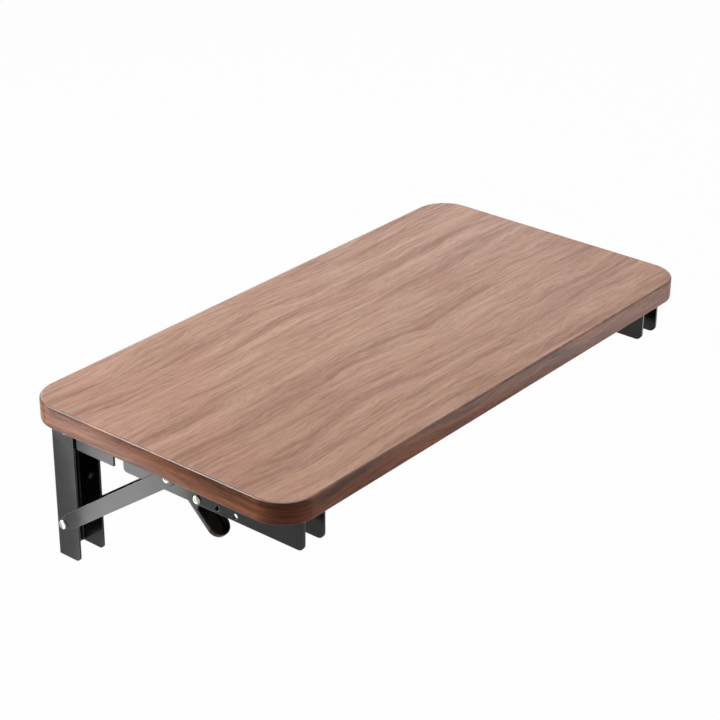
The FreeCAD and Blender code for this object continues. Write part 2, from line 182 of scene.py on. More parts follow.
@dataclass(frozen=True)
class WalnutFilm:
    """Printed walnut film pressed on board: a satin skin whose grain is drawn, with fine pores.

    The eye sees soft violet-brown streaks on pinkish brown, a little grey sheen at a low angle,
    and darker hairlines where the pores are embossed. Where the film is drawn over an arris it
    may be glossier, and shows there as a thin bright line.
    """

    name: str
    source: GrainSource
    dark: str = "#7F4B2C"
    streak: str = "#8B5B40"
    middle: str = "#97684C"
    light: str = "#A07256"
    pale: str = "#A97C5F"
    tone_shares: tuple[float, ...] = (0.38, 0.445, 0.50, 0.56, 0.64)
    wander: GrainLayer = GrainLayer(180, 70, 1.0, 0.4, 3.1)
    ripple: GrainLayer = GrainLayer(48, 22, 1.0, 0.4, 7.7)
    bands: GrainLayer = GrainLayer(240, 17, 2.0, 0.5, 11.3)
    streaks: GrainLayer = GrainLayer(85, 4.2, 3.0, 0.6, 5.9)
    threads: GrainLayer = GrainLayer(24, 1.3, 2.0, 0.6, 17.2)
    # Real pores are about 0.3 mm wide. They are drawn wider, so that they show.
    pores: GrainLayer = GrainLayer(10, 0.9, 1.0, 0.5, 23.5)
    wander_mm: float = 32.0
    ripple_mm: float = 8.0
    band_share: float = 0.42
    streak_share: float = 0.36
    thread_share: float = 0.22
    pore_reach: Reach = (0.34, 0.46)
    pore_shade_share: float = 0.72
    roughness: float = 0.45
    dark_duller: float = 0.06
    pale_smoother: float = 0.05
    emboss_mm: float = 0.05
    emboss_share: float = 0.35
    ior: float = 1.46
    specular: float = 0.32
    arris_specular: float = 0.32
    arris_reach: Reach = (0.5, 0.65)

    def find_place(self, tree: bpy.types.NodeTree) -> bpy.types.NodeSocket:
        """Gives the place on the board, grain along the first axis, from its chosen source."""
        if self.source is GrainSource.EDGE_MAP:
            return add_node(tree, "ShaderNodeUVMap", {"uv_map": "grain"}).outputs["UV"]
        return add_node(tree, "ShaderNodeTexCoord").outputs["Object"]

    def bend_grain(self, tree: bpy.types.NodeTree,
                   place: bpy.types.NodeSocket) -> bpy.types.NodeSocket:
        """Bends the straight grain sideways in one long wave and one short one.

        Args:
            tree: the material's node tree.
            place: where along and across the straight grain.

        Returns:
            The same place on the bent grain.
        """
        shifts = []
        for layer, reach in ((self.wander, self.wander_mm), (self.ripple, self.ripple_mm)):
            centred = add_node(tree, "ShaderNodeMath", {"operation": "SUBTRACT"}, {1: 0.5},
                               {0: layer.add(tree, place)})
            shifts.append(add_node(tree, "ShaderNodeMath", {"operation": "MULTIPLY"},
                                   {1: reach * MM}, {0: centred.outputs[0]}))
        shift = add_node(tree, "ShaderNodeMath", {"operation": "ADD"}, None,
                         {0: shifts[0].outputs[0], 1: shifts[1].outputs[0]})
        sideways = add_node(tree, "ShaderNodeCombineXYZ", links={"Y": shift.outputs[0]})
        bent = add_node(tree, "ShaderNodeVectorMath", {"operation": "ADD"}, None,
                        {0: place, 1: sideways.outputs[0]})
        return bent.outputs[0]

    def draw_tones(self, tree: bpy.types.NodeTree, bands: bpy.types.NodeSocket,
                   streaks: bpy.types.NodeSocket,
                   threads: bpy.types.NodeSocket) -> bpy.types.NodeSocket:
        """Mixes the three scales of figure and colours them from dark to pale.

        Args:
            tree: the material's node tree.
            bands: the broad bands.
            streaks: the streaks.
            threads: the fine threads.

        Returns:
            The wood's colour without its pores.
        """
        part = add_node(tree, "ShaderNodeMath", {"operation": "MULTIPLY"},
                        {1: self.streak_share}, {0: streaks})
        coarse = add_node(tree, "ShaderNodeMath", {"operation": "MULTIPLY_ADD"},
                          {1: self.band_share}, {0: bands, 2: part.outputs[0]})
        tone = add_node(tree, "ShaderNodeMath", {"operation": "MULTIPLY_ADD"},
                        {1: self.thread_share}, {0: threads, 2: coarse.outputs[0]})
        colours = (self.dark, self.streak, self.middle, self.light, self.pale)
        ramp = add_node(tree, "ShaderNodeValToRGB", links={"Fac": tone.outputs[0]},
                        stops=list(zip(self.tone_shares, colours)))
        return ramp.outputs["Color"]

    def gloss_arris(self, tree: bpy.types.NodeTree) -> bpy.types.NodeSocket:
        """Gives the skin's gloss, which changes where the surface starts to face up."""
        facing = add_node(tree, "ShaderNodeSeparateXYZ",
                          links={"Vector": add_node(tree, "ShaderNodeTexCoord").outputs["Normal"]})
        gloss = add_node(tree, "ShaderNodeMapRange", None,
                         {"From Min": self.arris_reach[0], "From Max": self.arris_reach[1],
                          "To Min": self.specular, "To Max": self.arris_specular},
                         {"Value": facing.outputs["Z"]})
        return gloss.outputs[0]

    def build(self) -> bpy.types.Material:
        """Makes the film's material.

        Returns:
            The finished material.
        """
        material, tree, output = new_material(self.name)
        place = self.bend_grain(tree, self.find_place(tree))
        streaks = self.streaks.add(tree, place)
        wood = self.draw_tones(tree, self.bands.add(tree, place), streaks,
                               self.threads.add(tree, place))
        pores = add_node(tree, "ShaderNodeMapRange", None,
                         {"From Min": self.pore_reach[0], "From Max": self.pore_reach[1],
                          "To Min": self.pore_shade_share, "To Max": 1.0},
                         {"Value": self.pores.add(tree, place)})
        shade = add_node(tree, "ShaderNodeVectorMath", {"operation": "SCALE"}, None,
                         {0: wood, "Scale": pores.outputs[0]})
        rough = add_node(tree, "ShaderNodeMapRange", None,
                         {"From Min": NOISE_LOW, "From Max": NOISE_HIGH,
                          "To Min": self.roughness + self.dark_duller,
                          "To Max": self.roughness - self.pale_smoother}, {"Value": streaks})
        bump = add_node(tree, "ShaderNodeBump", None,
                        {"Strength": self.emboss_share, "Distance": self.emboss_mm * MM},
                        {"Height": pores.outputs[0]})
        shader = add_node(tree, "ShaderNodeBsdfPrincipled", None, {"IOR": self.ior},
                          {"Base Color": shade.outputs[0], "Roughness": rough.outputs[0],
                           "Specular IOR Level": self.gloss_arris(tree),
                           "Normal": bump.outputs[0]})
        tree.links.new(shader.outputs[0], output.inputs["Surface"])
        return material


@dataclass(frozen=True)
class PaintedSteel:
    """Pressed steel sheet with a dark grey baked paint.

    A half matt skin with a faint orange peel, whose sheen shows where light lies along a plate.
    Bends and cut edges are painted a lighter grey and made glossier: a painted highlight, which
    shows them as light lines.
    """

    name: str = "dark_grey_baked_paint"
    colour: str = "#191918"
    worn: str = "#20201F"
    worn_shares: Reach = (0.3, 0.75)
    # Bends and cut edges take this lighter grey as a painted highlight.
    edge_highlight_grey: str = "#70706E"
    specular: float = 0.22
    edge_highlight_gloss: float = 0.8
    roughness: float = 0.17
    smoother: float = 0.04
    duller: float = 0.05
    peel_mm: float = 0.9
    peel_depth_mm: float = 0.012
    peel_share: float = 0.4
    cloud_mm: float = 45.0
    edge_mm: float = 0.9
    edge_samples: int = 4
    edge_reach: Reach = (0.995, 0.80)

    def build(self) -> bpy.types.Material:
        """Makes the paint's material.

        Returns:
            The finished material.
        """
        material, tree, output = new_material(self.name)
        place = add_node(tree, "ShaderNodeTexCoord").outputs["Object"]
        peel = add_node(tree, "ShaderNodeTexNoise", None,
                        {"Scale": 1 / (self.peel_mm * MM), "Detail": 2.0}, {"Vector": place})
        cloud = add_node(tree, "ShaderNodeTexNoise", None,
                         {"Scale": 1 / (self.cloud_mm * MM), "Detail": 3.0}, {"Vector": place})
        tint = add_node(tree, "ShaderNodeValToRGB", links={"Fac": cloud.outputs["Fac"]},
                        stops=list(zip(self.worn_shares, (self.colour, self.worn))))
        rough = add_node(tree, "ShaderNodeMapRange", None,
                         {"From Min": NOISE_LOW, "From Max": NOISE_HIGH,
                          "To Min": self.roughness - self.smoother,
                          "To Max": self.roughness + self.duller}, {"Value": cloud.outputs["Fac"]})
        edges = add_node(tree, "ShaderNodeBevel", {"samples": self.edge_samples},
                         {"Radius": self.edge_mm * MM})
        # Painted highlight: the edge mask mixes a lighter grey into the paint on bends and cut
        # edges.
        edge_highlight = self.find_painted_edge_highlight(tree, edges.outputs[0])
        base = add_node(tree, "ShaderNodeMix", {"data_type": "RGBA"},
                        {7: linear_colour(self.edge_highlight_grey)}, {0: edge_highlight, 6: tint.outputs["Color"]})
        gloss = add_node(tree, "ShaderNodeMapRange", None,
                         {"To Min": self.specular, "To Max": self.edge_highlight_gloss},
                         {"Value": edge_highlight})
        bump = add_node(tree, "ShaderNodeBump", None,
                        {"Strength": self.peel_share, "Distance": self.peel_depth_mm * MM},
                        {"Height": peel.outputs["Fac"], "Normal": edges.outputs[0]})
        shader = add_node(tree, "ShaderNodeBsdfPrincipled", None, None,
                          {"Base Color": base.outputs[2], "Roughness": rough.outputs[0],
                           "Specular IOR Level": gloss.outputs[0], "Normal": bump.outputs[0]})
        tree.links.new(shader.outputs[0], output.inputs["Surface"])
        return material

    def find_painted_edge_highlight(self, tree: bpy.types.NodeTree,
                  rounded: bpy.types.NodeSocket) -> bpy.types.NodeSocket:
        """Finds the edges, where the rounded normal leaves the flat one, for the painted edge
        highlight.

        Args:
            tree: the material's node tree.
            rounded: the normal with the edges rounded.

        Returns:
            Zero on a flat plate, and one on a sharp edge.
        """
        flat = add_node(tree, "ShaderNodeNewGeometry")
        same = add_node(tree, "ShaderNodeVectorMath", {"operation": "DOT_PRODUCT"}, None,
                        {0: rounded, 1: flat.outputs["Normal"]})
        edge_highlight = add_node(tree, "ShaderNodeMapRange", None,
                        {"From Min": self.edge_reach[0], "From Max": self.edge_reach[1]},
                        {"Value": same.outputs["Value"]})
        return edge_highlight.outputs[0]


@dataclass(frozen=True)
class BareSteel:
    """Plated or drawn steel: a bright metal with fine turning or drawing marks.

    The marks break its mirror image up into a soft sparkle.
    """

    name: str
    colour: str
    roughness: float
    # Real marks are finer than a tenth of a millimetre. They are drawn wider, so that they show.
    mark_mm: float = 0.25
    mark_depth_mm: float = 0.01
    mark_share: float = 0.3
    smooth_share: float = 0.8
    dull_share: float = 1.3

    def build(self) -> bpy.types.Material:
        """Makes the metal's material.

        Returns:
            The finished material.
        """
        material, tree, output = new_material(self.name)
        place = add_node(tree, "ShaderNodeTexCoord").outputs["Object"]
        mark = add_node(tree, "ShaderNodeTexNoise", None,
                        {"Scale": 1 / (self.mark_mm * MM), "Detail": 2.0}, {"Vector": place})
        rough = add_node(tree, "ShaderNodeMapRange", None,
                         {"From Min": NOISE_LOW, "From Max": NOISE_HIGH,
                          "To Min": self.roughness * self.smooth_share,
                          "To Max": self.roughness * self.dull_share},
                         {"Value": mark.outputs["Fac"]})
        bump = add_node(tree, "ShaderNodeBump", None,
                        {"Strength": self.mark_share, "Distance": self.mark_depth_mm * MM},
                        {"Height": mark.outputs["Fac"]})
        shader = add_node(tree, "ShaderNodeBsdfPrincipled", None,
                          {"Base Color": linear_colour(self.colour), "Metallic": 1.0},
                          {"Roughness": rough.outputs[0], "Normal": bump.outputs[0]})
        tree.links.new(shader.outputs[0], output.inputs["Surface"])
        return material


@dataclass(frozen=True)
class RawBoard:
    """Pressed wood fibre board, sawn and left bare: dull, pale brown and speckled."""

    name: str = "raw_fibre_board"
    dark: str = "#8E6F4E"
    light: str = "#B8996F"
    tone_shares: Reach = (0.35, 0.65)
    fibre_mm: float = 1.4
    roughness: float = 0.85

    def build(self) -> bpy.types.Material:
        """Makes the raw board's material.

        Returns:
            The finished material.
        """
        material, tree, output = new_material(self.name)
        place = add_node(tree, "ShaderNodeTexCoord").outputs["Object"]
        fibre = add_node(tree, "ShaderNodeTexNoise", None,
                         {"Scale": 1 / (self.fibre_mm * MM), "Detail": 4.0}, {"Vector": place})
        tint = add_node(tree, "ShaderNodeValToRGB", links={"Fac": fibre.outputs["Fac"]},
                        stops=list(zip(self.tone_shares, (self.dark, self.light))))
        shader = add_node(tree, "ShaderNodeBsdfPrincipled", None, {"Roughness": self.roughness},
                          {"Base Color": tint.outputs["Color"]})
        tree.links.new(shader.outputs[0], output.inputs["Surface"])
        return material


def start_piece(name: str) -> None:
    """Leaves object mode free and nothing selected before a new primitive is added."""
    if bpy.context.object and bpy.context.object.mode != "OBJECT":
        bpy.ops.object.mode_set(mode="OBJECT")
    bpy.ops.object.select_all(action="DESELECT")
    log.info("modelling %s", name)


def select_faces(piece: bpy.types.Object, wanted: Callable[[bpy.types.MeshPolygon], bool]) -> None:
    """Selects the faces of the piece in edit mode that pass a test, and only those.

    Args:
        piece: the piece that is being edited.
        wanted: says of a face whether it is meant.
    """
    bpy.ops.mesh.select_mode(type="FACE")
    bpy.ops.mesh.select_all(action="DESELECT")
    bpy.ops.object.mode_set(mode="OBJECT")
    chosen = [wanted(face) for face in piece.data.polygons]
    piece.data.polygons.foreach_set("select", chosen)
    bpy.ops.object.mode_set(mode="EDIT")


def select_edges(piece: bpy.types.Object, wanted: Callable[[Vector, Vector], bool]) -> None:
    """Selects the edges of the piece in edit mode whose two ends pass a test, and only those.

    Args:
        piece: the piece that is being edited.
        wanted: says of an edge's two ends whether the edge is meant.
    """
    bpy.ops.mesh.select_mode(type="EDGE")
    bpy.ops.mesh.select_all(action="DESELECT")
    bpy.ops.object.mode_set(mode="OBJECT")
    mesh = piece.data
    ends = [[mesh.vertices[index].co for index in edge.vertices] for edge in mesh.edges]
    chosen = [wanted(first, second) for first, second in ends]
    mesh.edges.foreach_set("select", chosen)
    bpy.ops.object.mode_set(mode="EDIT")


def press_dome(reach: float, rise: float, steps: int) -> None:
    """Raises the selected flat end to a dome, by insets that climb a quarter of an ellipse.

    Args:
        reach: how far the dome runs in from its rim.
        rise: how high it is.
        steps: in how many insets.
    """
    before = (0.0, 0.0)
    for step in range(1, steps + 1):
        angle = math.pi / 2 * step / steps
        now = (reach * (1 - math.cos(angle)), rise * math.sin(angle))
        bpy.ops.mesh.inset(thickness=now[0] - before[0], depth=now[1] - before[1])
        before = now


def finish_piece(piece: bpy.types.Object, name: str) -> bpy.types.Object:
    """Puts the place into the mesh, points the faces outwards and smooths by angle.

    Args:
        piece: the modelled object.
        name: its name.

    Returns:
        The same object, at the origin.
    """
    bpy.ops.object.mode_set(mode="EDIT")
    bpy.ops.mesh.select_all(action="SELECT")
    bpy.ops.mesh.remove_doubles(threshold=MERGE_DISTANCE)
    bpy.ops.mesh.normals_make_consistent(inside=False)
    bpy.ops.object.mode_set(mode="OBJECT")
    bpy.ops.object.transform_apply(location=True, rotation=True, scale=True)
    bpy.ops.object.shade_smooth_by_angle(angle=math.radians(SMOOTH_DEGREES))
    piece.name = name
    piece.data.name = name
    return piece


def close_to(value: float, target: float) -> bool:
    """Says whether two lengths are the same place."""
    return abs(value - target) < PLACE_TOLERANCE


@dataclass
class Tabletop:
    """The walnut faced top: two faced sheets on a raw core, and a rounded band round the edge."""

    length: float = 600.0 * MM
    depth: float = 306.0 * MM
    thickness: float = 21.5 * MM
    top_height: float = 112.0 * MM
    corner_radius: float = 34.0 * MM
    edge_round: float = 2.0 * MM
    band_thickness: float = 2.3 * MM
    corner_segments: int = 20
    round_segments: int = 6
    body: str = "tabletop"

    @property
    def straight_x(self) -> float:
        """Gives half the straight part of the board's long edges."""
        return self.length / 2 - self.corner_radius

    @property
    def straight_y(self) -> float:
        """Gives half the straight part of the board's short edges."""
        return self.depth / 2 - self.corner_radius

    def inside_by(self, x: float, y: float) -> float:
        """Measures how far inside the outline of a centred board a place near its edge lies."""
        over_x = max(abs(x) - self.straight_x, 0.0)
        over_y = max(abs(y) - self.straight_y, 0.0)
        return self.corner_radius - math.hypot(over_x, over_y)

    def add_block(self) -> bpy.types.Object:
        """Models a solid block with rounded corners, still in edit mode."""
        start_piece("edge band")
        middle = (0.0, -self.depth / 2, self.top_height - self.thickness / 2)
        bpy.ops.mesh.primitive_cube_add(size=1.0, location=middle)
        block = bpy.context.object
        bpy.ops.object.mode_set(mode="EDIT")
        bpy.ops.transform.resize(value=(self.length, self.depth, self.thickness))
        select_edges(block, lambda a, b: abs(a.z - b.z) > self.thickness / 2)
        bpy.ops.mesh.bevel(offset=self.corner_radius, segments=self.corner_segments, profile=0.5)
        return block

    def hollow_out(self, block: bpy.types.Object) -> None:
        """Turns the block into a ring: insets its lids, deletes them and bridges their rims."""
        select_faces(block, lambda face: abs(face.normal.z) > NORMAL_SHARE)
        bpy.ops.mesh.inset(thickness=self.band_thickness, use_even_offset=True)
        inner_x = self.length / 2 - self.band_thickness + PLACE_TOLERANCE
        inner_y = self.depth / 2 - self.band_thickness + PLACE_TOLERANCE

        def is_lid(face: bpy.types.MeshPolygon) -> bool:
            """Picks the flat faces inside the inset."""
            wide = abs(face.normal.z) > NORMAL_SHARE and len(face.vertices) > 4
            return wide and abs(face.center.x) < inner_x and abs(face.center.y) < inner_y

        select_faces(block, is_lid)
        bpy.ops.mesh.delete(type="FACE")
        bpy.ops.mesh.select_all(action="DESELECT")
        bpy.ops.mesh.select_mode(type="EDGE")
        bpy.ops.mesh.select_non_manifold()
        bpy.ops.mesh.bridge_edge_loops()

    def round_rims(self, ring: bpy.types.Object) -> None:
        """Rounds the outer arrises at the top and the bottom of the ring."""

        def on_rim(first: Vector, second: Vector) -> bool:
            """Picks the outermost edges of the top and the bottom."""
            return all(close_to(abs(end.z), self.thickness / 2)
                       and close_to(self.inside_by(end.x, end.y), 0.0) for end in (first, second))

        select_edges(ring, on_rim)
        bpy.ops.mesh.bevel(offset=self.edge_round, segments=self.round_segments, profile=0.5)

    def perimeter_place(self, point: Vector) -> float:
        """Measures how far round the board's outline a point is.

        Args:
            point: a place on the band.

        Returns:
            The distance along the outline, from the middle of the rear edge, clockwise.
        """
        x = point.x
        y = point.y + self.depth / 2
        arc = self.corner_radius * math.pi / 2
        ends = [self.straight_x]
        for stretch in (arc, 2 * self.straight_y, arc, 2 * self.straight_x, arc,
                        2 * self.straight_y, arc):
            ends.append(ends[-1] + stretch)
        over_x = abs(x) - self.straight_x
        over_y = abs(y) - self.straight_y
        if over_x <= 0:
            if y > 0:
                return x if x >= 0 else ends[7] + (x + self.straight_x)
            return ends[3] + self.straight_x - x
        if over_y <= 0:
            return ends[1] + self.straight_y - y if x > 0 else ends[5] + self.straight_y + y
        angle = math.atan2(over_x, over_y)
        if (x > 0) != (y > 0):
            angle = math.pi / 2 - angle
        if x > 0:
            corner = 0 if y > 0 else 2
        else:
            corner = 6 if y > 0 else 4
        return ends[corner] + self.corner_radius * angle

    def map_grain(self, band: bpy.types.Object) -> None:
        """Lays a map in metres on the band: along the outline, and round its profile.

        Args:
            band: the finished band, at its place.
        """
        mesh = band.data
        layer = mesh.uv_layers.new(name="grain")
        whole = 2 * (self.length + self.depth) - (8 - 2 * math.pi) * self.corner_radius
        for face in mesh.polygons:
            centre = self.perimeter_place(face.center)
            for loop_index in face.loop_indices:
                point = mesh.vertices[mesh.loops[loop_index].vertex_index].co
                along = self.perimeter_place(point)
                if along - centre > whole / 2:
                    along -= whole
                if centre - along > whole / 2:
                    along += whole
                across = point.z - self.inside_by(point.x, point.y + self.depth / 2)
                layer.data[loop_index].uv = (along, across)

    def build(self) -> None:
        """Models the band and dresses the sheets and the core."""
        film = WalnutFilm("walnut_film_top", GrainSource.BOARD_AXES).build()
        # The band's film is a darker, redder copy of the top film: painted shade of the board's
        # sides.
        edge_film = WalnutFilm("walnut_film_edge", GrainSource.EDGE_MAP, dark="#4B2917",
                               streak="#683C26", middle="#844C30", light="#975A3A",
                               pale="#A96847", bands=GrainLayer(240, 17, 2.0, 0.5, 2.3),
                               specular=0.12, arris_specular=0.9, roughness=0.25).build()
        band = self.add_block()
        self.hollow_out(band)
        self.round_rims(band)
        finish_piece(band, "edge_band")
        self.map_grain(band)
        dress(band, edge_film)
        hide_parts("tabletop_edge_band")
        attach(band, self.body)
        for node in ("tabletop_top_sheet", "tabletop_bottom_sheet"):
            dress(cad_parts[node], film)
        dress(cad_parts["tabletop_core"], RawBoard().build())
        log.info("tabletop: band, two sheets and core")


def copy_along_wall(piece: bpy.types.Object, name: str, distance: float) -> bpy.types.Object:
    """Copies a finished piece, with its own mesh, to another place along the wall.

    Args:
        piece: the finished piece.
        name: the copy's name.
        distance: how far to the right the copy goes.

    Returns:
        The copy, at the origin.
    """
    start_piece(name)
    piece.select_set(True)
    bpy.context.view_layer.objects.active = piece
    bpy.ops.object.duplicate(linked=False)
    twin = bpy.context.object
    bpy.ops.transform.translate(value=(distance, 0.0, 0.0))
    bpy.ops.object.transform_apply(location=True, rotation=False, scale=False)
    twin.name = name
    twin.data.name = name
    return twin


def stand_in_for(piece: bpy.types.Object, node: str, body: str,
                 material: bpy.types.Material) -> None:
    """Puts a modelled piece in a solid's place, with its finish and its body.

    Args:
        piece: the modelled piece.
        node: the solid that it stands for.
        body: the body that it rides on.
        material: its finish.
    """
    dress(piece, material)
    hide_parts(node)
    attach(piece, body)


@dataclass
class FormedHead:
    """The head that a press forms on a rivet or a pin: a dome with a dimple and a small button."""

    height: float
    rim_share: float = 0.30
    flat_share: float = 0.52
    dome_steps: int = 5
    lip_share: float = 0.10
    dimple_share: float = 0.24
    button_share: float = 0.12
    button_inset_share: float = 0.12

    def form(self, piece: bpy.types.Object, outward: int, axis: Vector, shank_radius: float,
             head_radius: float) -> None:
        """Forms the head on one end of a shank that lies along X.

        Args:
            piece: the shank, in edit mode.
            outward: -1 for the end toward the left, 1 for the end toward the right.
            axis: a point on the shank's axis.
            shank_radius: the shank's radius.
            head_radius: the head's radius.
        """
        end = max(outward * vertex.co.x for vertex in piece.data.vertices)

        def is_cap(face: bpy.types.MeshPolygon) -> bool:
            """Picks the flat end of the shank."""
            return outward * face.normal.x > NORMAL_SHARE and close_to(outward * face.center.x, end)

        select_faces(piece, is_cap)
        grow = head_radius / shank_radius
        bpy.ops.mesh.extrude_region_move(TRANSFORM_OT_translate={"value": (0.0, 0.0, 0.0)})
        bpy.ops.transform.resize(value=(1.0, grow, grow), center_override=axis)
        rim = self.height * self.rim_share
        bpy.ops.mesh.extrude_region_move(TRANSFORM_OT_translate={"value": (outward * rim, 0.0, 0.0)})
        press_dome(head_radius * (1 - self.flat_share), self.height - rim, self.dome_steps)
        lip = head_radius * self.lip_share
        bpy.ops.mesh.inset(thickness=lip, depth=0.0)
        bpy.ops.mesh.inset(thickness=lip, depth=-self.height * self.dimple_share)
        bpy.ops.mesh.inset(thickness=lip / 2, depth=0.0)
        bpy.ops.mesh.inset(thickness=head_radius * self.button_inset_share,
                           depth=self.height * self.button_share)


@dataclass
class Rivet:
    """A zinc plated rivet or pin across a bracket, with a formed head on one end or on both."""

    node: str
    shank_radius: float
    head_height: float
    sides: tuple[int, ...] = (-1, 1)
    around: int = 48

    def shape(self) -> bpy.types.Object:
        """Models the rivet where the solid one lies.

        Returns:
            The rivet's object.
        """
        low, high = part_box(self.node)
        start = low.x + (self.head_height if -1 in self.sides else 0.0)
        end = high.x - (self.head_height if 1 in self.sides else 0.0)
        axis = Vector(((start + end) / 2, (low.y + high.y) / 2, (low.z + high.z) / 2))
        start_piece(self.node)
        bpy.ops.mesh.primitive_cylinder_add(vertices=self.around, radius=self.shank_radius,
                                            depth=end - start, location=axis,
                                            rotation=(0.0, math.pi / 2, 0.0))
        bpy.ops.object.transform_apply(location=True, rotation=True, scale=True)
        piece = bpy.context.object
        bpy.ops.object.mode_set(mode="EDIT")
        for outward in self.sides:
            FormedHead(self.head_height).form(piece, outward, axis, self.shank_radius,
                                              (high.y - low.y) / 2)
        return finish_piece(piece, self.node + "_formed")


@dataclass
class PanScrew:
    """A black wood screw under the tabletop: a pan head with a cross recess, and a plain shank."""

    node: str
    head_radius: float = 4.0 * MM
    head_height: float = 2.0 * MM
    shank_radius: float = 1.9 * MM
    point_length: float = 3.4 * MM
    point_share: float = 0.15
    recess_length: float = 4.4 * MM
    recess_width: float = 1.0 * MM
    recess_depth: float = 1.3 * MM
    recess_taper_share: float = 0.55
    flat_share: float = 0.45
    dome_steps: int = 6
    around: int = 40

    def add_wedge(self, middle: Vector, turn: float) -> bpy.types.Object:
        """Models one tapered bar of the cross that the recess is pressed with.

        Args:
            middle: the middle of the head's outer face.
            turn: how far round the screw the bar lies.

        Returns:
            The bar's object.
        """
        start_piece("recess wedge")
        bpy.ops.mesh.primitive_cube_add(size=1.0, location=middle, rotation=(0.0, 0.0, turn))
        wedge = bpy.context.object
        wedge.scale = (self.recess_length, self.recess_width, 2 * self.recess_depth)
        bpy.ops.object.transform_apply(location=False, rotation=False, scale=True)
        bpy.ops.object.mode_set(mode="EDIT")
        select_faces(wedge, lambda face: face.normal.z > NORMAL_SHARE)
        bpy.ops.transform.resize(value=(self.recess_taper_share, self.recess_taper_share, 1.0),
                                 center_override=middle)
        bpy.ops.object.mode_set(mode="OBJECT")
        return wedge

    def cut_recess(self, screw: bpy.types.Object, middle: Vector) -> None:
        """Presses the cross recess into the head with two wedges.

        Args:
            screw: the screw, in object mode.
            middle: the middle of the head's outer face.
        """
        for turn in (0.0, math.pi / 2):
            wedge = self.add_wedge(middle, turn)
            bpy.ops.object.select_all(action="DESELECT")
            screw.select_set(True)
            bpy.context.view_layer.objects.active = screw
            cut = screw.modifiers.new("recess", "BOOLEAN")
            cut.operation = "DIFFERENCE"
            cut.solver = "EXACT"
            cut.object = wedge
            bpy.ops.object.modifier_apply(modifier=cut.name)
            bpy.data.objects.remove(wedge)

    def shape(self) -> bpy.types.Object:
        """Models the screw where the solid one lies.

        Returns:
            The screw's object.
        """
        low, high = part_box(self.node)
        middle = Vector(((low.x + high.x) / 2, (low.y + high.y) / 2, low.z))
        seat = low.z + self.head_height
        straight = high.z - seat - self.point_length
        start_piece(self.node)
        bpy.ops.mesh.primitive_cylinder_add(vertices=self.around, radius=self.shank_radius,
                                            depth=straight,
                                            location=(middle.x, middle.y, seat + straight / 2))
        bpy.ops.object.transform_apply(location=True, rotation=True, scale=True)
        screw = bpy.context.object
        bpy.ops.object.mode_set(mode="EDIT")
        select_faces(screw, lambda face: face.normal.z > NORMAL_SHARE)
        bpy.ops.mesh.extrude_region_move(
            TRANSFORM_OT_translate={"value": (0.0, 0.0, self.point_length)})
        bpy.ops.transform.resize(value=(self.point_share, self.point_share, 1.0),
                                 center_override=middle)
        select_faces(screw, lambda face: face.normal.z < -NORMAL_SHARE)
        grow = self.head_radius / self.shank_radius
        bpy.ops.mesh.extrude_region_move(TRANSFORM_OT_translate={"value": (0.0, 0.0, 0.0)})
        bpy.ops.transform.resize(value=(grow, grow, 1.0), center_override=middle)
        press_dome(self.head_radius * (1 - self.flat_share), self.head_height, self.dome_steps)
        bpy.ops.object.mode_set(mode="OBJECT")
        self.cut_recess(screw, middle)
        return finish_piece(screw, self.node + "_recessed")


@dataclass
class BracketPair:
    """The two folding brackets: painted steel plates, bright rivets, springs and screws."""

    paint: bpy.types.Material
    zinc: bpy.types.Material
    wire: bpy.types.Material
    black: bpy.types.Material
    rivet_radius: float = 2.6 * MM
    rivet_head: float = 2.0 * MM
    hinge_pin_radius: float = 3.0 * MM
    lever_pin_radius: float = 2.5 * MM
    pin_head: float = 1.6 * MM

    def spacing(self) -> float:
        """Measures how far apart the two brackets stand."""
        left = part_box("left_arm")
        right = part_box("right_arm")
        return (right[0].x + right[1].x - left[0].x - left[1].x) / 2

    def add_fastener(self, piece: bpy.types.Object, part: str, body: str,
                     material: bpy.types.Material) -> None:
        """Puts a fastener of the left bracket in its place, and a copy on the right bracket.

        Args:
            piece: the modelled fastener of the left bracket.
            part: the solid's name without its side.
            body: the body it rides on, with a place for the side.
            material: its finish.
        """
        twin = copy_along_wall(piece, piece.name.replace("left", "right"), self.spacing())
        stand_in_for(piece, "left_" + part, body.format(side="left"), material)
        stand_in_for(twin, "right_" + part, body.format(side="right"), material)
        log.info("both brackets: %s", part)

    def add_rivets(self) -> None:
        """Models the rivets and pins, and puts them on both brackets."""
        for end, side in (("outer", -1), ("inner", 1)):
            for place, body in (("foot", "wall_legs"), ("head", "brace_{side}")):
                part = f"{place}_rivet_{end}"
                rivet = Rivet("left_" + part, self.rivet_radius, self.rivet_head, (side,)).shape()
                self.add_fastener(rivet, part, body, self.zinc)
        for part, radius, body in (("hinge_pin", self.hinge_pin_radius, "wall_legs"),
                                   ("lever_pin", self.lever_pin_radius, "tabletop")):
            pin = Rivet("left_" + part, radius, self.pin_head).shape()
            self.add_fastener(pin, part, body, self.zinc)

    def add_screws(self) -> None:
        """Models the screws that hold the top, and puts them on both brackets."""
        for place in ("rear", "middle", "front"):
            screw = PanScrew(f"left_board_screw_{place}").shape()
            self.add_fastener(screw, f"board_screw_{place}", "tabletop",
                              self.black)

    def dress_plates(self) -> None:
        """Paints the pressed plates, and finishes the sliding pins and the springs."""
        finishes = (
            (self.paint, ("wall_leg", "arm", "brace_outer_plate", "brace_inner_plate",
                          "release_lever")),
            (self.zinc, ("slide_pin",)),
            (self.wire, ("lever_spring",)),
        )
        for side in Side:
            for material, parts in finishes:
                for part in parts:
                    dress(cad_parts[f"{side.value}_{part}"], material)
            log.info("%s bracket: plates, sliding pin and spring", side.value)

    def build(self) -> None:
        """Builds and dresses both brackets."""
        self.dress_plates()
        self.add_rivets()
        self.add_screws()


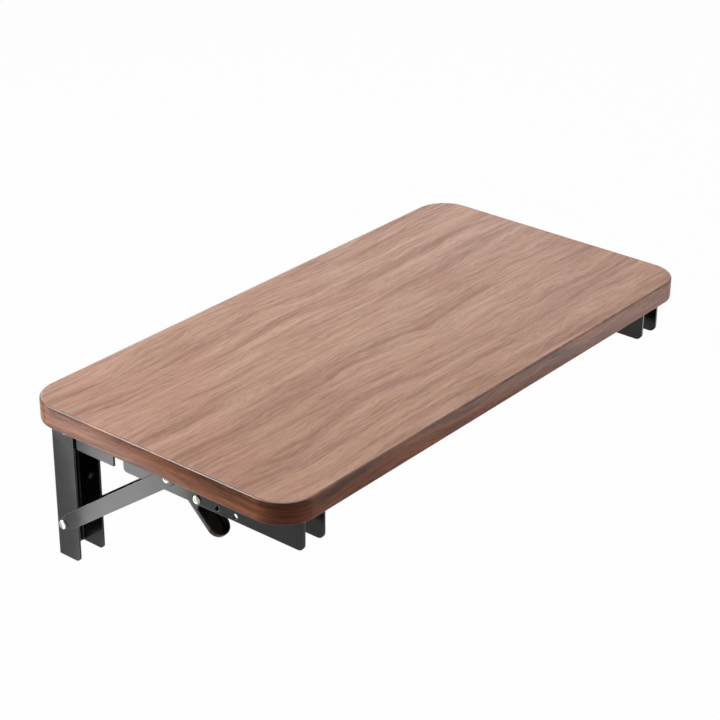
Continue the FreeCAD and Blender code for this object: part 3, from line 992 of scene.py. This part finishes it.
@dataclass(frozen=True)
class Softbox:
    """One rectangular soft light: its place, what it points at, its width and height, its power."""

    name: str
    place: Place
    target: Place
    size: tuple[float, float]
    watts: float

    def add(self) -> None:
        """Adds the light, which the camera doesn't see."""
        data = bpy.data.lights.new(self.name, "AREA")
        data.shape = "RECTANGLE"
        data.size = self.size[0]
        data.size_y = self.size[1]
        data.energy = self.watts
        light = bpy.data.objects.new(self.name, data)
        bpy.context.collection.objects.link(light)
        light.location = self.place
        aim = Vector(self.target) - Vector(self.place)
        light.rotation_euler = aim.to_track_quat("-Z", "Y").to_euler()
        light.visible_camera = False


@dataclass
class Studio:
    """A pale floor, soft lights and the camera, which stands where the photograph's did."""

    lens_mm: float = 100.836
    sensor_mm: float = 36.0
    camera_place: Place = (-1.32304, -1.20892, 0.93440)
    yaw_degrees: float = 50.937
    pitch_degrees: float = 26.762
    roll_degrees: float = 0.487
    floor_height: float = -0.64
    floor_size: float = 14.0
    floor_colour: str = "#C4C4C4"
    floor_glow_share: float = 0.98
    surround_colour: str = "#FFFFFF"
    ambient_share: float = 0.06
    lights: tuple[Softbox, ...] = (
        Softbox("edge_light", (-0.85, 0.90, 1.35), (-0.15, -0.15, 0.1), (0.8, 0.7), 19.0),
        Softbox("overhead", (0.1, 0.1, 2.0), (0.0, -0.15, 0.1), (1.6, 1.6), 18.5),
        Softbox("back_right", (2.15, 2.15, 1.35), (0.0, -0.15, 0.1), (2.8, 1.8), 40.0),
        # The next two are small and near, so that the left bracket and the left edge mirror them.
        Softbox("left_low", (-0.45, 0.084, -0.127), (-0.271, -0.11, 0.035), (0.1, 0.22), 0.42),
        Softbox("left_edge", (-0.45, 0.16, 0.0), (-0.30, 0.0, 0.1), (0.15, 0.1), 0.25),
        Softbox("left", (-1.3, 1.3, 0.3), (-0.3, -0.15, 0.1), (0.8, 0.8), 20.0),
        Softbox("front_low", (1.15, -0.95, -0.42), (0.2, -0.3, 0.1), (0.7, 0.4), 1.2),
        Softbox("front_right", (1.0, -1.5, -0.1), (0.0, -0.3, 0.1), (1.4, 1.4), 13.0),
    )

    def place_camera(self) -> None:
        """Sets the camera at the photograph's viewing angle."""
        data = bpy.data.cameras.new("camera")
        data.lens = self.lens_mm
        data.sensor_width = self.sensor_mm
        camera = bpy.data.objects.new("camera", data)
        bpy.context.collection.objects.link(camera)
        turn = Matrix.Rotation(-math.radians(self.yaw_degrees), 4, "Z")
        tilt = Matrix.Rotation(math.radians(90 - self.pitch_degrees), 4, "X")
        roll = Matrix.Rotation(math.radians(self.roll_degrees), 4, "Z")
        camera.matrix_world = Matrix.Translation(self.camera_place) @ turn @ tilt @ roll
        bpy.context.scene.camera = camera

    def seen_rays(self, tree: bpy.types.NodeTree) -> bpy.types.NodeSocket:
        """Adds the test for rays that show a surface: seen straight, mirrored or through glass.

        Args:
            tree: the node tree of the floor or the surround.

        Returns:
            One for such a ray, and zero for a ray that only carries light.
        """
        path = add_node(tree, "ShaderNodeLightPath")
        mirrored = add_node(tree, "ShaderNodeMath", {"operation": "MAXIMUM"}, None,
                            {0: path.outputs["Is Camera Ray"], 1: path.outputs["Is Glossy Ray"]})
        seen = add_node(tree, "ShaderNodeMath", {"operation": "MAXIMUM"}, None,
                        {0: mirrored.outputs[0], 1: path.outputs["Is Transmission Ray"]})
        return seen.outputs[0]

    def lay_floor(self) -> None:
        """Lays the pale floor, which looks white, keeps a faint shadow and is clear from below."""
        start_piece("floor")
        bpy.ops.mesh.primitive_plane_add(size=self.floor_size, location=(0, 0, self.floor_height))
        floor = bpy.context.object
        floor.name = "floor"
        material, tree, output = new_material("pale_floor")
        glow_share = add_node(tree, "ShaderNodeMapRange", None, {"To Max": self.floor_glow_share},
                              {"Value": self.seen_rays(tree)})
        paint = add_node(tree, "ShaderNodeBsdfDiffuse", None,
                         {"Color": linear_colour(self.floor_colour)})
        glow = add_node(tree, "ShaderNodeEmission")
        both = add_node(tree, "ShaderNodeMixShader", None, None,
                        {0: glow_share.outputs[0], 1: paint.outputs[0], 2: glow.outputs[0]})
        side = add_node(tree, "ShaderNodeNewGeometry")
        clear = add_node(tree, "ShaderNodeBsdfTransparent")
        one_sided = add_node(tree, "ShaderNodeMixShader", None, None,
                             {0: side.outputs["Backfacing"], 1: both.outputs[0],
                              2: clear.outputs[0]})
        tree.links.new(one_sided.outputs[0], output.inputs["Surface"])
        dress(floor, material)

    def set_surround(self) -> None:
        """Sets a white surround that the camera, metal and glass see at full white."""
        world = bpy.data.worlds.new("surround")
        bpy.context.scene.world = world
        world.use_nodes = True
        tree = world.node_tree
        tree.nodes.clear()
        level = add_node(tree, "ShaderNodeMapRange", None,
                         {"To Min": self.ambient_share, "To Max": 1.0},
                         {"Value": self.seen_rays(tree)})
        back = add_node(tree, "ShaderNodeBackground", None,
                        {"Color": linear_colour(self.surround_colour)},
                        {"Strength": level.outputs[0]})
        output = add_node(tree, "ShaderNodeOutputWorld")
        tree.links.new(back.outputs[0], output.inputs["Surface"])

    def build(self) -> None:
        """Builds the floor, the surround, the lights and the camera."""
        self.lay_floor()
        self.set_surround()
        for light in self.lights:
            light.add()
        self.place_camera()
        bpy.context.scene.view_settings.view_transform = "Standard"
        log.info("studio: floor, surround, lights and camera")


def main() -> None:
    """Builds the table and the studio in order."""
    logging.basicConfig(level=logging.INFO, format="%(name)s: %(message)s")
    Tabletop().build()
    paint = PaintedSteel().build()
    # Zinc plate is bright and nearly mirrors, drawn wire is greyer and streaked, oxide is dull.
    zinc = BareSteel("bright_zinc_plate", "#9E9E9A", 0.22).build()
    wire = BareSteel("drawn_spring_wire", "#8C8C8C", 0.35).build()
    black = BareSteel("black_oxide_steel", "#3A3A3A", 0.4).build()
    BracketPair(paint, zinc, wire, black).build()
    Studio().build()


if __name__ == "__main__":
    main()
